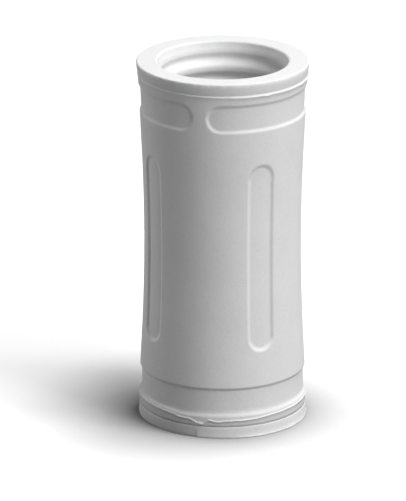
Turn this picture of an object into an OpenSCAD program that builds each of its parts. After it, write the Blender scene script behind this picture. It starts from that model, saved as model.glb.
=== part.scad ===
// Push-fit coupling sleeve for round conduit, moulded in one piece.
// Origin at the centre of the bottom end face, +Z along the bore, millimetres.

/* [Sleeve] */
// Overall length between the end faces
sleeve_len = 60; // [54:1:80]
// Outer diameter of the end faces
rim_d = 28; // [27.6:0.1:32]
// Outer diameter of the body where it meets the rim rings
neck_d = 27.5; // [26.2:0.1:27.6]
// Outer diameter of the body at its waist
waist_d = 25.5; // [24.4:0.1:26]
// Length of the curved middle, past which the body flares straight
waist_curve_len = 31; // [20:1:36]

/* [Rim rings] */
// Height of the ring at each end face, up to its crease
rim_h = 2.1; // [1.6:0.1:2.4]
// Height of the straight part of the ring at the end face
rim_land_h = 0.7; // [0.3:0.1:1.2]
// Small bevel round the outer edge of the end face
rim_edge = 0.15; // [0.05:0.05:0.3]
// Depth of the crease between ring and body
crease_depth = 0.12; // [0.05:0.01:0.3]
// Width of the crease
crease_w = 0.3; // [0.2:0.05:0.5]

/* [Parting lines] */
// Height of the lower parting line above the bottom face
low_parting_z = 3.2; // [2.9:0.1:3.6]
// Height of the upper parting line below the top face
top_parting_drop = 2.3; // [2.3:0.05:2.8]
// How far the moulding flash stands out of the body
flash_proud = 0.2; // [0.1:0.05:0.25]
// Thickness of the flash where it leaves the body
flash_t = 0.2; // [0.1:0.05:0.3]
// How far the lip under the lower flash stands out of the body
lip_proud = 0.08; // [0:0.01:0.15]

/* [Lower band] */
// Height at which the shoulder has come down to the floor of the band
band_low_z = 4.6; // [4.2:0.1:5.5]
// Height at which the band steps out to the barrel
band_top_z = 8.2; // [7:0.1:10]
// Depth of the band and of the label panels below the body
recess_depth = 0.29; // [0.1:0.01:0.5]
// Width of the sloping step at the edges of the recesses
recess_step_w = 0.6; // [0.3:0.05:0.9]

/* [Label panels] */
// Number of panels round the top, with a bridge before each
panel_count = 2; // [1:1:4]
// Distance of the middle of the panels below the top face
panel_drop = 6; // [5.5:0.05:8]
// Height of a panel at half its depth
panel_h = 4.3; // [3:0.1:4.6]
// Width of the bridge between two panels at its narrowest
bridge_w = 2.6; // [1.5:0.1:5]

/* [Side slots] */
// Number of slots round the body
slot_count = 4; // [2:1:6]
// Angle from the first bridge to the first slot
slot_angle = 45; // [30:1:60]
// Width of a slot
slot_w = 4.3; // [2:0.1:6]
// Distance from each end face to the end of a slot
slot_end_gap = 14.4; // [11:0.1:20]
// Depth of a slot below the body
slot_depth = 0.32; // [0.1:0.01:0.5]

/* [Sockets] */
// Outer diameter of the conduit that both sockets take
conduit_d = 20; // [19:0.1:20.3]
// Radial room round the conduit in the plain part of a socket
socket_clearance = 0.2; // [0.1:0.01:0.3]
// Diameter of the mouth at the end face
mouth_d = 21.7; // [21.2:0.1:22]
// Rounding of the mouth edge
mouth_edge_r = 0.35; // [0.1:0.05:0.4]
// Radial room round the conduit at the narrow end of the lead-in
lead_in_room = 0.05; // [0.05:0.05:0.3]
// Depth below the end face at which the lead-in is narrowest
lead_in_len = 1.6; // [0.8:0.1:1.8]
// Radial depth of the grooves beside the seal ribs
groove_depth = 0.45; // [0.3:0.05:0.6]
// Number of seal ribs in each socket
rib_count = 2; // [1:1:4]
// Depth of the first seal rib below the end face
first_rib_depth = 4.6; // [4.2:0.05:5.2]
// Distance from one seal rib to the next
rib_pitch = 3.35; // [2.8:0.05:3.8]
// Length of the cylindrical crest of a seal rib
rib_land = 0.4; // [0.2:0.05:0.8]

/* [Centre stop] */
// Inner diameter of the collar that stops both conduits
stop_d = 18; // [15:0.1:18.5]
// Length of the collar
stop_len = 3; // [1.5:0.1:8]
// Bevel on the inner edges of the collar
stop_bevel = 0.4; // [0.1:0.1:0.6]

/* [Hidden] */
$fn = 96;

mid_z = sleeve_len / 2;
rim_r = rim_d / 2;
neck_r = neck_d / 2;
waist_r = waist_d / 2;
conduit_r = conduit_d / 2;
socket_r = conduit_r + socket_clearance;
groove_r = conduit_r + groove_depth;
mouth_r = mouth_d / 2;
lead_in_r = conduit_r + lead_in_room;
stop_r = stop_d / 2;
// Half length of the curved middle, never longer than the body between the rings
curve_half = min(waist_curve_len / 2, mid_z - rim_h);
flare_slope = (neck_r - waist_r) / (mid_z - rim_h - curve_half / 2);
top_parting_z = sleeve_len - top_parting_drop;
panel_mid_z = sleeve_len - panel_drop;
cut_r = rim_r + 1;

// Steps along each curve
CURVE_STEPS = 8;
// How far a cutter runs past the face that it opens
CUT_PAST = 1;

// Radius of the plain body at height z: a shallow curve at the waist, then a straight flare
function body_r(z) =
    let (h = abs(z - mid_z))
    waist_r + flare_slope * (h < curve_half ? h * h / (2 * curve_half) : h - curve_half / 2);

// Points of [radius, z] along the body from z0 to z1, sunk by depth
function body_line(z0, z1, depth, steps) =
    [for (i = [0:steps]) let (z = z0 + (z1 - z0) * i / steps) [body_r(z) - depth, z]];

// Points of a rounded bump or hollow from [r0, z0] to [r1, z1], level at both ends
function wave(r0, z0, r1, z1, steps = CURVE_STEPS) =
    [for (i = [0:steps]) let (t = i / steps)
        [r0 + (r1 - r0) * (1 - cos(180 * t)) / 2, z0 + (z1 - z0) * t]];

// Points of a shoulder that leaves [r0, z0] upright and leans in towards [r1, z1]
function shoulder(r0, z0, r1, z1, steps = CURVE_STEPS) =
    [for (i = [0:steps]) let (t = i / steps)
        [r0 + (r1 - r0) * (0.5 * t + 0.5 * t * t), z0 + (z1 - z0) * t]];

// The end ring from its end face to its crease, as [radius, distance from the end face]
ring_line = [
    [rim_r - rim_edge, 0],
    [rim_r, rim_edge],
    [rim_r, rim_land_h],
    [neck_r, rim_h - crease_w / 2],
    [neck_r - crease_depth, rim_h]
];

// The flash as a thin fin at height z, on a wall of radius r, from its foot upwards
function flash_fin(r, z) = [
    [r, z - flash_t / 2],
    [r + flash_proud, z],
    [r, z + flash_t / 2]
];

lip_r = body_r(low_parting_z) + lip_proud;

outer_line = concat(
    ring_line,
    flash_fin(lip_r, low_parting_z),
    shoulder(lip_r, low_parting_z + flash_t / 2, body_r(band_low_z) - recess_depth, band_low_z),
    [
        [body_r(band_top_z - recess_step_w / 2) - recess_depth, band_top_z - recess_step_w / 2],
        [body_r(band_top_z + recess_step_w / 2), band_top_z + recess_step_w / 2]
    ],
    body_line(mid_z - curve_half, mid_z + curve_half, 0, 3 * CURVE_STEPS),
    flash_fin(body_r(top_parting_z), top_parting_z),
    [for (i = [len(ring_line) - 1:-1:0]) [ring_line[i][0], sleeve_len - ring_line[i][1]]]
);

// Quarter round of the mouth edge, as [radius, distance from the end face]
mouth_line = [for (i = [0:CURVE_STEPS]) let (a = 90 * i / CURVE_STEPS)
    [mouth_r - mouth_edge_r * sin(a), mouth_edge_r * (1 - cos(a))]];

function rib_depth(i) = first_rib_depth + i * rib_pitch;

// One seal rib between its two grooves: up to the crest, along its land and down again
function rib_line(i) =
    let (
        d = rib_depth(i),
        after_r = i == rib_count - 1 ? socket_r : groove_r
    )
    concat(
        wave(groove_r, d - rib_pitch / 2, conduit_r, d - rib_land / 2),
        wave(conduit_r, d + rib_land / 2, after_r, d + rib_pitch / 2)
    );

// The socket from the end face to the stop, as [radius, distance from the end face]
socket_line = concat(
    mouth_line,
    wave(lead_in_r, lead_in_len, groove_r, rib_depth(0) - rib_pitch / 2),
    [for (i = [0:rib_count - 1]) each rib_line(i)],
    [
        [socket_r, mid_z - stop_len / 2],
        [stop_r + stop_bevel, mid_z - stop_len / 2],
        [stop_r, mid_z - stop_len / 2 + stop_bevel]
    ]
);

inner_line = concat(
    socket_line,
    [for (i = [len(socket_line) - 1:-1:0]) [socket_line[i][0], sleeve_len - socket_line[i][1]]]
);

// The sleeve in section, turned round the bore: body, rings, lower band and both sockets
module turned_sleeve() {
    rotate_extrude()
        polygon(concat(outer_line, [for (i = [len(inner_line) - 1:-1:0]) inner_line[i]]));
}

// Everything outside the body sunk by depth, between two heights
module outside_body(z0, z1, depth, steps) {
    rotate_extrude()
        polygon(concat(body_line(z0, z1, depth, steps), [[cut_r, z1], [cut_r, z0]]));
}

// A panel in the flat: a sector with straight sides and fully round ends, cut radially
module panel_stencil() {
    end_angle = asin((bridge_w + panel_h) / 2 / body_r(panel_mid_z));
    sweep = 360 / panel_count - 2 * end_angle;
    rotate([0, 0, end_angle])
        rotate_extrude(angle = sweep)
            translate([waist_r - CUT_PAST, panel_mid_z - panel_h / 2])
                square([cut_r - waist_r + CUT_PAST, panel_h]);
    for (a = [end_angle, end_angle + sweep])
        rotate([0, 0, a])
            translate([waist_r - CUT_PAST, 0, panel_mid_z])
                rotate([0, 90, 0])
                    cylinder(h = cut_r - waist_r + CUT_PAST, d = panel_h);
}

// Label panels round the top, the first bridge at -Y
module label_panels() {
    intersection() {
        outside_body(panel_mid_z - panel_h, panel_mid_z + panel_h, recess_depth, 1);
        for (i = [0:panel_count - 1])
            rotate([0, 0, -90 + i * 360 / panel_count])
                panel_stencil();
    }
}

// A slot seen from the side: straight, with fully round ends, cut along +X
module slot_stencil() {
    low_z = slot_end_gap + slot_w / 2;
    top_z = sleeve_len - low_z;
    depth_x = cut_r - waist_r + CUT_PAST;
    translate([waist_r - CUT_PAST, -slot_w / 2, low_z])
        cube([depth_x, slot_w, top_z - low_z]);
    for (z = [low_z, top_z])
        translate([waist_r - CUT_PAST, 0, z])
            rotate([0, 90, 0])
                cylinder(h = depth_x, d = slot_w);
}

// Long slots round the body, halfway between the bridges
module side_slots() {
    intersection() {
        outside_body(slot_end_gap - CUT_PAST, sleeve_len - slot_end_gap + CUT_PAST, slot_depth,
            4 * CURVE_STEPS);
        for (i = [0:slot_count - 1])
            rotate([0, 0, -90 + slot_angle + i * 360 / slot_count])
                slot_stencil();
    }
}

module coupling_sleeve() {
    color([0.83, 0.83, 0.83])
        difference() {
            turned_sleeve();
            label_panels();
            side_slots();
        }
}

coupling_sleeve();
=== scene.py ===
"""The looks of a moulded conduit coupling sleeve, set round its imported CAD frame.

The frame's own solid has plain, sharp recesses, and ribs as wide as the conduit. The mesh made here stands
for it at the same outer sizes, with the soft edges, the narrower ribs and the torn moulding flash of the
real sleeve. Sizes of the sleeve are in millimetres and angles in degrees. The room round it is in metres.
"""

import math

import bpy
import numpy as np
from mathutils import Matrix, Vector


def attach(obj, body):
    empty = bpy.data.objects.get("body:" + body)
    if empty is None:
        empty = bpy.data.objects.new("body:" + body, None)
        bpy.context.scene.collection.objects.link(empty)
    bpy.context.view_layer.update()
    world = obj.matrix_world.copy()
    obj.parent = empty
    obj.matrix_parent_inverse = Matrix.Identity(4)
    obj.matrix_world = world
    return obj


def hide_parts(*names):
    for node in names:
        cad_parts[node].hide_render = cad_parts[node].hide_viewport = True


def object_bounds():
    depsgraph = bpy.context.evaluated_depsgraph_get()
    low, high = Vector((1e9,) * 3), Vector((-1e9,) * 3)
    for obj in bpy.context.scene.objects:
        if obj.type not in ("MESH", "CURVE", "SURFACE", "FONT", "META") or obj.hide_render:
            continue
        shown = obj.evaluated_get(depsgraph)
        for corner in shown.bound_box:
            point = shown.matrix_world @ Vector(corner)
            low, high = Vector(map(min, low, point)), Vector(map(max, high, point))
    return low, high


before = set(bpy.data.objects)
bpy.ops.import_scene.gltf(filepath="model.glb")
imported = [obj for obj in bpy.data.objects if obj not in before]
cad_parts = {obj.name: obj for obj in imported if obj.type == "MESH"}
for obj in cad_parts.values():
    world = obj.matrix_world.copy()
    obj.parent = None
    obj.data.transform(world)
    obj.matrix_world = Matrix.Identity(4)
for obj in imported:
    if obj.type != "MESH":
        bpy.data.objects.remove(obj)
cad_low, cad_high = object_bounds()

MM = 0.001

# Whole sleeve, from the frame, with z from the bottom face
LENGTH = (cad_high.z - cad_low.z) / MM
MID_Z = LENGTH / 2
RIM_R = min(-cad_low.x, cad_high.x, -cad_low.y, cad_high.y) / MM

# Body: radius beside the rim rings and at the waist, height of a ring, half length of the waist's curve
NECK_R = 13.75
WAIST_R = 12.75
RIM_H = 2.1
CURVE_HALF = 15.5

# Radius at which a row splits each end face, so that its flat part is shaded flat
FACE_R = 12.2

# Lower ring: its foot where it flares, how much of that is missing where it doesn't, and its bevel
FOOT_R = 13.75
FOOT_LOSS = 0.22
FOOT_BEVEL = 0.06
# The lip under the lower flash, the top of the ring under that lip, and the crease between them
LIP_R = 13.6
RING_TOP_R = LIP_R - 0.05
FOOT_CREASE_Z = 1.84
CREASE_DEPTH = 0.16

# Lower flash: how far it stands out, and the least height from its line to the foot of the shoulder
LOW_FLASH_OUT = 0.12
LOW_FLASH_CLEAR = 0.22

# Shoulder over the lower flash: its foot, and the share of the band's depth that is filled up there
SHOULDER_R = 13.57
SHOULDER_Z = 3.35
SHOULDER_FILL = 0.35
# Going up, most of the shoulder leans in early: that share of it, and the part of its height that it takes
QUICK_SHARE = 0.75
QUICK_END = 0.62

# Label panels, with a bridge between one and the next
RECESS_DEPTH = 0.29
PANEL_MID_Z = LENGTH - 6.0
PANEL_H = 4.3
BRIDGE_W = 2.6
BRIDGE_ANGLES = (0, 180)

# Lower band: both ends of its floor, its depth at the top, how much deeper it is at its foot, and its step
BAND_LOW_Z = 4.6
BAND_TOP_Z = 8.2
BAND_DEPTH = RECESS_DEPTH + 0.03
BAND_LEAN = 0.12
BAND_STEP_W = 0.6
# Height from which the rows over the torn flash are level
KNEE_Z = BAND_LOW_Z + 0.2

# Side slots
SLOT_DEPTH = 0.32
SLOT_W = 4.3
SLOT_END_GAP = 14.4
SLOT_ANGLES = (45, 135, 225, 315)

# Width of the soft step round slots and panels, and of the sharper one along the bottom of a panel
STEP_W = 0.66
SHARP_STEP_W = 0.48

# Height of the upper ring's crease
TOP_CREASE_Z = LENGTH - RIM_H + 0.14
# How far the tip of the upper flash is under that, and how much further for each millimetre it stands out
TOP_FLASH_DROP = 0.12
TOP_FLASH_SLOPE = 1.2

# Mouth and lead-in
MOUTH_R = 10.95
MOUTH_EDGE = 0.4
MOUTH_STEPS = 5
MOUTH_FACE_R = MOUTH_R + 0.15
LEAD_IN_R = 10.05
LEAD_IN_LEN = 1.7

# Seal ribs and the grooves beside them, as depths below the end face
FIRST_GROOVE_R = 10.16
FIRST_GROOVE_DEPTH = 2.55
GROOVE_R = 10.4
RIB_R = 9.42
RIB_COUNT = 2
FIRST_RIB_DEPTH = 4.4
RIB_PITCH = 3.35
RIB_LAND = 0.4

# Plain socket, with rows along its wall, and the collar that stops the conduit
SOCKET_R = 10.2
WALL_DEPTHS = (12.0, 20.0)
STOP_R = 9.0
STOP_LEN = 3.0
STOP_BEVEL = 0.4

# Rows up the body: room beside a step, beside the round end of a slot and beside the middle of a panel
STEP_ROOM = 0.5
SLOT_END_ROOM = 2.2
PANEL_ROOM = 2.6

# Columns round the sleeve, and how much closer and over what reach they crowd at slots and at bridges
COLUMNS = 366
FINE_STEPS = 7200
SLOT_CROWDING = 2.4
SLOT_REACH = 1.6
BRIDGE_CROWDING = 1.2
BRIDGE_REACH = 14.0

# Height of the lower flash line against the angle from the camera: its torn front dips and notches
LOW_FLASH_Z = (
    (-180, 3.3), (-120, 3.55), (-75, 3.64), (-58, 3.6), (-42, 3.46), (-34.5, 3.28), (-32, 3.1), (-29, 3.06),
    (-23.5, 3.0), (-20.5, 2.74), (-18, 2.34), (-15.5, 2.34), (-13.7, 2.26), (-12.4, 2.45), (-11, 2.88),
    (-9.5, 3.03), (-8.2, 3.0), (-6.7, 2.86), (-5.5, 2.74), (-3.5, 2.73), (0, 2.83), (8, 2.94), (19.5, 2.9),
    (23.5, 3.0), (28, 3.06), (35, 3.2), (45, 3.28), (60, 3.38), (75, 3.48), (110, 3.4), (180, 3.2),
)
# Height at which the shoulder over that line meets the floor of the band, against the same angle
SHOULDER_TOP_Z = (
    (-180, 4.6), (-75, 4.45), (-25, 4.45), (0, 4.8), (20, 4.9), (40, 4.85), (75, 4.75), (180, 4.6),
)
# How much the face of the lower ring flares towards the bottom, against the same angle
FOOT_FLARE = ((-180, 1.0), (-100, 1.0), (-75, 0.3), (-60, 0.0), (-20, 0.0), (-17.5, 1.0), (180, 1.0))
# How far a thin burr stands out at the bottom edge, against the same angle
FOOT_BURR = ((-180, 0.0), (4, 0.0), (12, 0.08), (25, 0.12), (60, 0.12), (80, 0.05), (180, 0.0))
# How far the upper flash stands out, against the same angle
TOP_FLASH_PROUD = (
    (-180, 0.15), (-90, 0.06), (-50, 0.06), (-28, 0.08), (-18, 0.12), (0, 0.14), (12, 0.18), (22, 0.21),
    (90, 0.22), (140, 0.2), (180, 0.15),
)
# Sections of both flashes: share of the reach outwards, and height beside the flash line
LOW_FLASH_SECTION = ((0.9, -0.03), (1.0, 0.02), (0.75, 0.07))
TOP_FLASH_SECTION = ((0.85, -0.05), (1.0, 0.0), (0.85, 0.07))
# The upper ring over its crease: how far it stands out of the neck, and height over the crease
TOP_RING_RISE = ((-0.02, 0.0), (0.02, 0.1), (0.06, 0.3), (0.2, 1.0))
# The same ring below the end face, then its worn edge: inset from the rim, and depth below the face
TOP_RING_LAND = ((0.02, 0.6), (0.0, 0.3))
TOP_RING_EDGE = ((0.01, 0.12), (0.05, 0.04), (0.14, 0.0), (0.3, 0.0))

# The photograph's view of the sleeve: direction of the camera from -Y towards +X, and how high it is
VIEW_ANGLE = 16.2
CAMERA_ELEVATION = 18.39
CAMERA_PITCH = 18.51
# Camera: distance, shift to the side and reach in metres, sensor and lens in millimetres
CAMERA_DISTANCE = 1.1082
CAMERA_SHIFT = -0.00319
CAMERA_REACH = 20.0
SENSOR_W = 36.0
LENS = 489.5

# Greys of the sleeve, and the least and the most of its roughness
DARK_GREY = (0.62, 0.62, 0.621, 1)
LIGHT_GREY = (0.68, 0.68, 0.681, 1)
SMOOTHEST = 0.5
ROUGHEST = 0.62

# Floor: half its width, and the share of light that it sends to the camera and to the sleeve
FLOOR_HALF = 1.5
FLOOR_WHITE = 0.91
FLOOR_BOUNCE = 0.27
# Reach of the painted shade round the foot of the sleeve, where occlusion darkens the floor's colour
PAINTED_SHADE_REACH = 0.022
# How fast that painted shade fades, in the floor's colour to the camera and in the light thrown back
PAINTED_SHADE_FADE = 1.7
PAINTED_SHADE_BOUNCE_FADE = 0.7

# Soft square lamps: distance from the middle of the sleeve, and width
LAMP_DISTANCE = 0.8
LAMP_SIZE = 0.4
# Each lamp's name, angle from the camera, height angle and power in watts
LAMPS = (
    ("key_softbox", 60, 40, 4.0),
    ("overhead_softbox", 90, 73, 4.4),
    ("front_softbox", 30, 40, 2.6),
    ("back_softbox", 150, 40, 1.6),
    ("rim_softbox", -120, 10, 2.9),
)


def smooth(t):
    """Rises from 0 to 1 as t goes from 0 to 1, level at both ends."""
    t = np.clip(t, 0.0, 1.0)
    return t * t * (3.0 - 2.0 * t)


def around(angle, centre):
    """Angle from centre, the short way round."""
    return (angle - centre + 180.0) % 360.0 - 180.0


def table(points, angle):
    """Reads a closed table of (angle, value) at each angle."""
    a, v = zip(*points)
    return np.interp(around(angle, 0.0), a, v)


def ripple(angle, seed, waves, size):
    """A closed irregular ripple round the sleeve, the sum of these numbers of waves."""
    rng = np.random.default_rng(seed)
    total = np.zeros_like(angle)
    for n in waves:
        total += rng.normal() * np.cos(np.radians(angle * n) + rng.uniform(0, 2 * math.pi))
    return size * total / math.sqrt(len(waves))


def body_r(z):
    """Radius of the plain body: a shallow curve at the waist, then a straight flare."""
    slope = (NECK_R - WAIST_R) / (MID_Z - RIM_H - CURVE_HALF / 2)
    h = np.abs(z - MID_Z)
    curved = h * h / (2 * CURVE_HALF)
    straight = h - CURVE_HALF / 2
    return WAIST_R + slope * np.where(h < CURVE_HALF, curved, straight)


def sunk(distance, width):
    """1 inside an outline and 0 outside it, with a soft step of this width across it."""
    return 1.0 - smooth(distance / width + 0.5)


def stadium(along, across, half_len, half_w):
    """Distance from the outline of a bar with round ends, negative inside it."""
    past = np.maximum(np.abs(along) - (half_len - half_w), 0.0)
    return np.hypot(past, across) - half_w


def slot_depth(angle, z):
    """Depth of the side slots below the body."""
    depth = np.zeros(np.broadcast(angle, z).shape)
    for a in SLOT_ANGLES:
        across = np.radians(around(angle, a)) * body_r(z)
        out = stadium(z - MID_Z, across, MID_Z - SLOT_END_GAP, SLOT_W / 2)
        depth = np.maximum(depth, SLOT_DEPTH * sunk(out, STEP_W))
    return depth


def panel_depth(angle, z):
    """Depth of the label panels below the body, with a sharper step along the bottom of each."""
    depth = np.zeros(np.broadcast(angle, z).shape)
    panel_r = float(body_r(PANEL_MID_Z))
    half_len = math.pi / len(BRIDGE_ANGLES) * panel_r - BRIDGE_W / 2
    width = STEP_W + (SHARP_STEP_W - STEP_W) * smooth((PANEL_MID_Z - z) / (PANEL_H / 2))
    for a in BRIDGE_ANGLES:
        along = np.radians(around(angle, a + 180.0 / len(BRIDGE_ANGLES))) * panel_r
        out = stadium(along, z - PANEL_MID_Z, half_len, PANEL_H / 2)
        depth = np.maximum(depth, RECESS_DEPTH * sunk(out, width))
    return depth


def band_depth(z, low, high):
    """Depth of the lower band below the body, with its soft shoulder from low to high and its step."""
    t = (z - low) / (high - low)
    shoulder = QUICK_SHARE * smooth(t / QUICK_END) + (1 - QUICK_SHARE) * smooth(t)
    step = smooth((z - BAND_TOP_Z) / BAND_STEP_W + 0.5)
    lean = BAND_LEAN * np.clip((BAND_TOP_Z - z) / (BAND_TOP_Z - BAND_LOW_Z), 0.0, 1.0)
    return (BAND_DEPTH + lean) * shoulder * (1 - step)


def column_angles():
    """Angles of the columns, closer together at the sides of the slots and round each bridge."""
    fine = np.linspace(0.0, 360.0, FINE_STEPS, endpoint=False)
    density = np.ones_like(fine)
    slot_half = math.degrees(SLOT_W / 2 / WAIST_R)
    for a in SLOT_ANGLES:
        for side in (a - slot_half, a + slot_half):
            density += SLOT_CROWDING * np.exp(-(around(fine, side) / SLOT_REACH) ** 2)
    for a in BRIDGE_ANGLES:
        density += BRIDGE_CROWDING * np.exp(-(around(fine, a) / BRIDGE_REACH) ** 4)
    total = np.concatenate([[0.0], np.cumsum(density)])
    steps = np.linspace(0.0, total[-1], COLUMNS, endpoint=False)
    return np.interp(steps, total, np.concatenate([fine, [360.0]]))


def body_heights():
    """Heights of the rows up the body, close together where a recess begins or ends."""
    slot_low = SLOT_END_GAP
    slot_top = LENGTH - SLOT_END_GAP
    # Each span's bottom, its top and the number of rows in it
    spans = (
        (SHOULDER_Z, KNEE_Z, 10),
        (KNEE_Z, BAND_TOP_Z - STEP_ROOM, 4),
        (BAND_TOP_Z - STEP_ROOM, BAND_TOP_Z + STEP_ROOM, 8),
        (BAND_TOP_Z + STEP_ROOM, slot_low - STEP_ROOM, 5),
        (slot_low - STEP_ROOM, slot_low + SLOT_END_ROOM, 15),
        (slot_low + SLOT_END_ROOM, slot_top - SLOT_END_ROOM, 22),
        (slot_top - SLOT_END_ROOM, slot_top + STEP_ROOM, 15),
        (slot_top + STEP_ROOM, PANEL_MID_Z - PANEL_ROOM, 4),
        (PANEL_MID_Z - PANEL_ROOM, PANEL_MID_Z + PANEL_ROOM, 26),
    )
    heights = [SHOULDER_Z]
    for low, high, count in spans:
        heights += [low + (high - low) * (k + 1) / count for k in range(count)]
    return heights


def lower_ring_rows(flare, burr):
    """The lower ring, from inside the bottom face round its edge and up to its top."""
    edge_r = FOOT_R - FOOT_LOSS * (1 - flare)
    rows = [
        (FACE_R, 0.0),
        (edge_r - 0.3, 0.0),
        (edge_r - FOOT_BEVEL, 0.0),
        (edge_r + burr, 0.04),
        (edge_r + burr, 0.1),
        (edge_r + 0.01 + 0.25 * burr, 0.2),
    ]
    for z in (0.4, 0.9, 1.4, FOOT_CREASE_Z - 0.17):
        share = 1 - z / FOOT_CREASE_Z
        rows.append((RING_TOP_R + (FOOT_R - RING_TOP_R) * share * flare, z))
    return rows


def crease_rows():
    """The narrow crease between the lower ring and the lip over it."""
    floor_r = RING_TOP_R - CREASE_DEPTH
    return [
        (RING_TOP_R - 0.01, FOOT_CREASE_Z - 0.08),
        (RING_TOP_R - 0.02, FOOT_CREASE_Z - 0.06),
        (floor_r, FOOT_CREASE_Z - 0.01),
        (floor_r, FOOT_CREASE_Z + 0.02),
        (LIP_R - 0.09, FOOT_CREASE_Z + 0.08),
    ]


def lip_rows(flash_z):
    """The lip between the crease and the torn line of the lower flash."""
    rows = []
    for share, r in ((0.32, LIP_R - 0.04), (0.55, LIP_R), (0.9, LIP_R)):
        rows.append((r, FOOT_CREASE_Z + (flash_z - FOOT_CREASE_Z) * share))
    return rows


def flash_rows(section, wall_r, reach, line_z):
    """A thin flash that stands out of a wall along a line."""
    return [(wall_r + reach * share, line_z + rise) for share, rise in section]


def body_rows(angle, flash_z, shoulder_top):
    """The body from the lower flash up over the shoulder, the band and the slots to the label panels."""
    foot_z = np.maximum(flash_z + LOW_FLASH_CLEAR, SHOULDER_Z)
    rows = [
        (SHOULDER_R + 0.03, flash_z + 0.13),
        (SHOULDER_R + 0.02, (flash_z + foot_z) / 2 + 0.05),
    ]
    foot_inset = float(body_r(SHOULDER_Z)) - SHOULDER_R
    for level in body_heights():
        # The first rows start from the torn line, and from the knee up they are level
        down = np.clip((KNEE_Z - level) / (KNEE_Z - SHOULDER_Z), 0.0, 1.0)
        z = level + (foot_z - SHOULDER_Z) * down
        band = band_depth(z, foot_z, shoulder_top) * (1 - SHOULDER_FILL * down ** 2)
        recess = np.maximum(slot_depth(angle, z), panel_depth(angle, z))
        rows.append((body_r(z) - foot_inset * down ** 2 - band - recess, z))
    return rows


def top_flash_rows(proud, wander):
    """The body over the panels, swelling out to the upper flash, and the flash's uneven edge."""
    tip_z = TOP_CREASE_Z - TOP_FLASH_DROP - TOP_FLASH_SLOPE * proud + wander
    start_z = PANEL_MID_Z + PANEL_ROOM
    rows = []
    for share in (0.25, 0.5, 0.75, 0.9):
        z = start_z + (tip_z - start_z) * share
        rows.append((body_r(z) + (NECK_R - body_r(z) + proud) * share ** 3, z))
    rows += flash_rows(TOP_FLASH_SECTION, NECK_R, proud, tip_z)
    rows.append((NECK_R - 0.01, TOP_CREASE_Z - 0.05))
    return rows


def top_ring_rows(wear):
    """The upper ring, from its crease round its worn edge and over the flat end face."""
    rows = [(NECK_R + out, TOP_CREASE_Z + rise) for out, rise in TOP_RING_RISE]
    rows += [(RIM_R - inset, LENGTH - depth) for inset, depth in TOP_RING_LAND]
    rows += [(RIM_R - inset - wear, LENGTH - depth) for inset, depth in TOP_RING_EDGE]
    return rows + [(FACE_R, LENGTH), (MOUTH_FACE_R, LENGTH)]


def wave_rows(r0, z0, r1, z1, steps):
    """A rounded rise or fall between two radii, level at both ends."""
    t = np.linspace(0.0, 1.0, steps + 1)
    return [(r0 + (r1 - r0) * (1 - math.cos(math.pi * k)) / 2, z0 + (z1 - z0) * k) for k in t]


def mouth_rows():
    """The rounded edge of the mouth and its lead-in down to the first groove, as (radius, depth)."""
    rows = []
    for k in range(MOUTH_STEPS + 1):
        a = math.radians(90 / MOUTH_STEPS * k)
        rows.append((MOUTH_R - MOUTH_EDGE * math.sin(a), MOUTH_EDGE * (1 - math.cos(a))))
    rows.append(((MOUTH_R - MOUTH_EDGE + LEAD_IN_R) / 2, (MOUTH_EDGE + LEAD_IN_LEN) / 2))
    return rows + wave_rows(LEAD_IN_R, LEAD_IN_LEN, FIRST_GROOVE_R, FIRST_GROOVE_DEPTH, 4)


def rib_rows():
    """The seal ribs, each up from one groove and down to the next, as (radius, depth)."""
    rows = []
    before = FIRST_GROOVE_R
    start = FIRST_GROOVE_DEPTH
    for i in range(RIB_COUNT):
        depth = FIRST_RIB_DEPTH + i * RIB_PITCH
        end = depth + RIB_PITCH / 2
        after = SOCKET_R if i == RIB_COUNT - 1 else GROOVE_R
        rows += wave_rows(before, start, RIB_R, depth - RIB_LAND / 2, 10)[1:]
        rows += wave_rows(RIB_R, depth + RIB_LAND / 2, after, end, 8)
        before = after
        start = end
    return rows


def stop_rows():
    """The plain wall of the socket and half of the collar that stops the conduit, as (radius, depth)."""
    stop_top = MID_Z - STOP_LEN / 2
    return [(SOCKET_R, depth) for depth in WALL_DEPTHS] + [
        (SOCKET_R, stop_top - 0.15),
        (SOCKET_R - 0.1, stop_top),
        (STOP_R + STOP_BEVEL, stop_top),
        (STOP_R, stop_top + STOP_BEVEL),
        (STOP_R, stop_top + 0.6),
    ]


def sleeve_grid():
    """Angle of every column, and radius and height of every row of it, once round the sleeve's section."""
    angle = column_angles()
    seen = angle - VIEW_ANGLE
    flash_z = table(LOW_FLASH_Z, seen) + ripple(angle, seed=3, waves=range(20, 60), size=0.02)
    flash_out = LOW_FLASH_OUT + ripple(angle, seed=5, waves=range(5, 40), size=0.02)
    uneven_burr = table(FOOT_BURR, seen) * (1 + ripple(angle, seed=11, waves=range(8, 60), size=0.3))
    burr = np.maximum(uneven_burr, 0.0)
    proud = table(TOP_FLASH_PROUD, seen) * (1 + ripple(angle, seed=7, waves=range(8, 50), size=0.12))
    wander = ripple(angle, seed=9, waves=range(4, 40), size=0.03)
    wear = np.abs(ripple(angle, seed=13, waves=range(5, 90), size=0.09))

    rows = lower_ring_rows(table(FOOT_FLARE, seen), burr)
    rows += crease_rows()
    rows += lip_rows(flash_z)
    rows += flash_rows(LOW_FLASH_SECTION, LIP_R, flash_out, flash_z)
    rows += body_rows(angle, flash_z, table(SHOULDER_TOP_Z, seen))
    rows += top_flash_rows(proud, wander)
    rows += top_ring_rows(wear)
    # The same socket at both ends, down from the top face and back to the bottom face
    socket = mouth_rows() + rib_rows() + stop_rows()
    rows += [(r, LENGTH - depth) for r, depth in socket]
    rows += [(r, depth) for r, depth in reversed(socket)]
    rows.append((MOUTH_FACE_R, 0.0))

    level = np.ones_like(angle)
    radius = np.array([r * level for r, _ in rows])
    height = np.array([z * level for _, z in rows])
    return angle, radius, height


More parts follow.
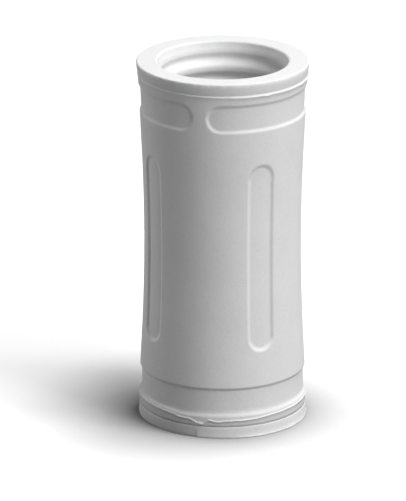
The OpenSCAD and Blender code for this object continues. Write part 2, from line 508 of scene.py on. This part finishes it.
def mesh_object(name, verts, faces):
    """A smooth mesh object from points in millimetres."""
    mesh = bpy.data.meshes.new(name)
    mesh.from_pydata((verts * MM).tolist(), [], faces)
    mesh.validate()
    mesh.update()
    mesh.polygons.foreach_set("use_smooth", [True] * len(mesh.polygons))
    obj = bpy.data.objects.new(name, mesh)
    bpy.context.scene.collection.objects.link(obj)
    return obj


def make_sleeve():
    """The sleeve as one closed mesh: columns run round it, and the last row meets the first."""
    angle, radius, height = sleeve_grid()
    a = np.radians(angle)
    verts = np.stack([radius * np.sin(a), -radius * np.cos(a), height], -1)
    rows, columns = radius.shape
    index = np.arange(rows * columns).reshape(rows, columns)
    right = np.roll(index, -1, 1)
    up = np.roll(index, -1, 0)
    up_right = np.roll(up, -1, 1)
    faces = np.stack([index, right, up_right, up], -1).reshape(-1, 4)
    return mesh_object("sleeve_surface", verts.reshape(-1, 3), faces.tolist())


def new_material(name):
    """A node material, with its nodes, its links and its shader."""
    material = bpy.data.materials.new(name)
    material.use_nodes = True
    nodes = material.node_tree.nodes
    return material, nodes, material.node_tree.links, nodes["Principled BSDF"]


def map_range(nodes, links, source, low, high):
    """A value that goes from low to high as the source goes from 0 to 1."""
    node = nodes.new("ShaderNodeMapRange")
    node.inputs["To Min"].default_value = low
    node.inputs["To Max"].default_value = high
    links.new(source, node.inputs["Value"])
    return node.outputs["Result"]


def moulded_material():
    """Light grey soft plastic straight from the mould: matt, faintly mottled, with a fine grain."""
    material, nodes, links, shader = new_material("moulded_grey")
    place = nodes.new("ShaderNodeTexCoord")

    def noise(scale, detail, roughness=0.5):
        node = nodes.new("ShaderNodeTexNoise")
        node.inputs["Scale"].default_value = scale
        node.inputs["Detail"].default_value = detail
        node.inputs["Roughness"].default_value = roughness
        links.new(place.outputs["Object"], node.inputs["Vector"])
        return node.outputs["Fac"]

    def bump(height, strength, distance):
        node = nodes.new("ShaderNodeBump")
        node.inputs["Strength"].default_value = strength
        node.inputs["Distance"].default_value = distance
        links.new(height, node.inputs["Height"])
        return node

    mottle = nodes.new("ShaderNodeMix")
    mottle.inputs["Factor"].default_value = 0.5
    links.new(noise(scale=90.0, detail=7.0, roughness=0.72), mottle.inputs["A"])
    links.new(noise(scale=3000.0, detail=2.0), mottle.inputs["B"])
    tint = nodes.new("ShaderNodeValToRGB")
    dark, light = tint.color_ramp.elements
    dark.position = 0.35
    dark.color = DARK_GREY
    light.position = 0.65
    light.color = LIGHT_GREY
    links.new(mottle.outputs["Result"], tint.inputs["Fac"])
    links.new(tint.outputs["Color"], shader.inputs["Base Color"])

    patches = noise(scale=240.0, detail=3.0)
    links.new(map_range(nodes, links, patches, SMOOTHEST, ROUGHEST), shader.inputs["Roughness"])
    shader.inputs["Specular IOR Level"].default_value = 0.4

    grain = bump(noise(scale=3600.0, detail=3.0, roughness=0.6), strength=0.6, distance=0.00004)
    waviness = bump(noise(scale=420.0, detail=2.0), strength=0.12, distance=0.0001)
    links.new(grain.outputs["Normal"], waviness.inputs["Normal"])
    links.new(waviness.outputs["Normal"], shader.inputs["Normal"])
    return material


def floor_material():
    """A pale floor with painted shade close to the sleeve, and greyer in the light it throws back than to
    the camera.
    """
    material, nodes, links, shader = new_material("pale_floor")
    to_camera = nodes.new("ShaderNodeLightPath").outputs["Is Camera Ray"]
    # Painted shade: occlusion close to the sleeve darkens the floor's colour, more to the camera than in
    # the light thrown back
    painted_shade_ao = nodes.new("ShaderNodeAmbientOcclusion")
    painted_shade_ao.samples = 16
    painted_shade_ao.inputs["Distance"].default_value = PAINTED_SHADE_REACH
    painted_shade = nodes.new("ShaderNodeMath")
    painted_shade.operation = "POWER"
    links.new(painted_shade_ao.outputs["AO"], painted_shade.inputs[0])
    links.new(map_range(nodes, links, to_camera, PAINTED_SHADE_BOUNCE_FADE, PAINTED_SHADE_FADE), painted_shade.inputs[1])
    tone = nodes.new("ShaderNodeMath")
    tone.operation = "MULTIPLY"
    links.new(painted_shade.outputs["Value"], tone.inputs[0])
    links.new(map_range(nodes, links, to_camera, FLOOR_BOUNCE, FLOOR_WHITE), tone.inputs[1])
    links.new(tone.outputs["Value"], shader.inputs["Base Color"])
    shader.inputs["Roughness"].default_value = 0.9
    shader.inputs["Specular IOR Level"].default_value = 0.0
    return material


def make_floor():
    """A square floor at the height of the sleeve's bottom face."""
    corners = [(x * FLOOR_HALF, y * FLOOR_HALF, 0) for x, y in ((-1, -1), (1, -1), (1, 1), (-1, 1))]
    mesh = bpy.data.meshes.new("floor")
    mesh.from_pydata(corners, [], [(0, 1, 2, 3)])
    floor = bpy.data.objects.new("floor", mesh)
    bpy.context.scene.collection.objects.link(floor)
    floor.location.z = cad_low.z
    floor.data.materials.append(floor_material())


def around_sleeve(azimuth, elevation, distance, sideways=0.0):
    """A point seen from the middle of the sleeve in this direction, azimuth from -Y towards +X."""
    a = math.radians(azimuth)
    e = math.radians(elevation)
    centre = (cad_low + cad_high) / 2
    out = Vector((math.sin(a) * math.cos(e), -math.cos(a) * math.cos(e), math.sin(e)))
    right = Vector((math.cos(a), math.sin(a), 0))
    return centre + out * distance + right * sideways


def make_camera():
    """The photograph's view, with a long lens from a little over a metre."""
    data = bpy.data.cameras.new("camera")
    data.sensor_width = SENSOR_W
    data.lens = LENS
    data.clip_end = CAMERA_REACH
    camera = bpy.data.objects.new("camera", data)
    bpy.context.scene.collection.objects.link(camera)
    camera.location = around_sleeve(VIEW_ANGLE, CAMERA_ELEVATION, CAMERA_DISTANCE, CAMERA_SHIFT)
    camera.rotation_euler = (math.radians(90 - CAMERA_PITCH), 0, math.radians(VIEW_ANGLE))
    bpy.context.scene.camera = camera


def softbox(name, azimuth, elevation, power):
    """A square soft lamp that faces the middle of the sleeve."""
    data = bpy.data.lights.new(name, "AREA")
    data.shape = "SQUARE"
    data.size = LAMP_SIZE
    data.energy = power
    lamp = bpy.data.objects.new(name, data)
    bpy.context.scene.collection.objects.link(lamp)
    lamp.location = around_sleeve(azimuth, elevation, LAMP_DISTANCE)
    centre = (cad_low + cad_high) / 2
    lamp.rotation_euler = (centre - lamp.location).to_track_quat("-Z", "Y").to_euler()


def light_room():
    """Soft lamps round the sleeve, in a room that is white to the camera and adds no light of its own."""
    world = bpy.data.worlds.new("studio")
    bpy.context.scene.world = world
    world.use_nodes = True
    nodes = world.node_tree.nodes
    background = nodes["Background"]
    background.inputs["Color"].default_value = (1, 1, 1, 1)
    path = nodes.new("ShaderNodeLightPath")
    world.node_tree.links.new(path.outputs["Is Camera Ray"], background.inputs["Strength"])
    for name, from_camera, elevation, power in LAMPS:
        softbox(name, VIEW_ANGLE + from_camera, elevation, power)


sleeve = make_sleeve()
sleeve.data.materials.append(moulded_material())
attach(sleeve, "root")
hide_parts("coupling_sleeve")

make_floor()
make_camera()
light_room()
bpy.context.scene.view_settings.view_transform = "Standard"
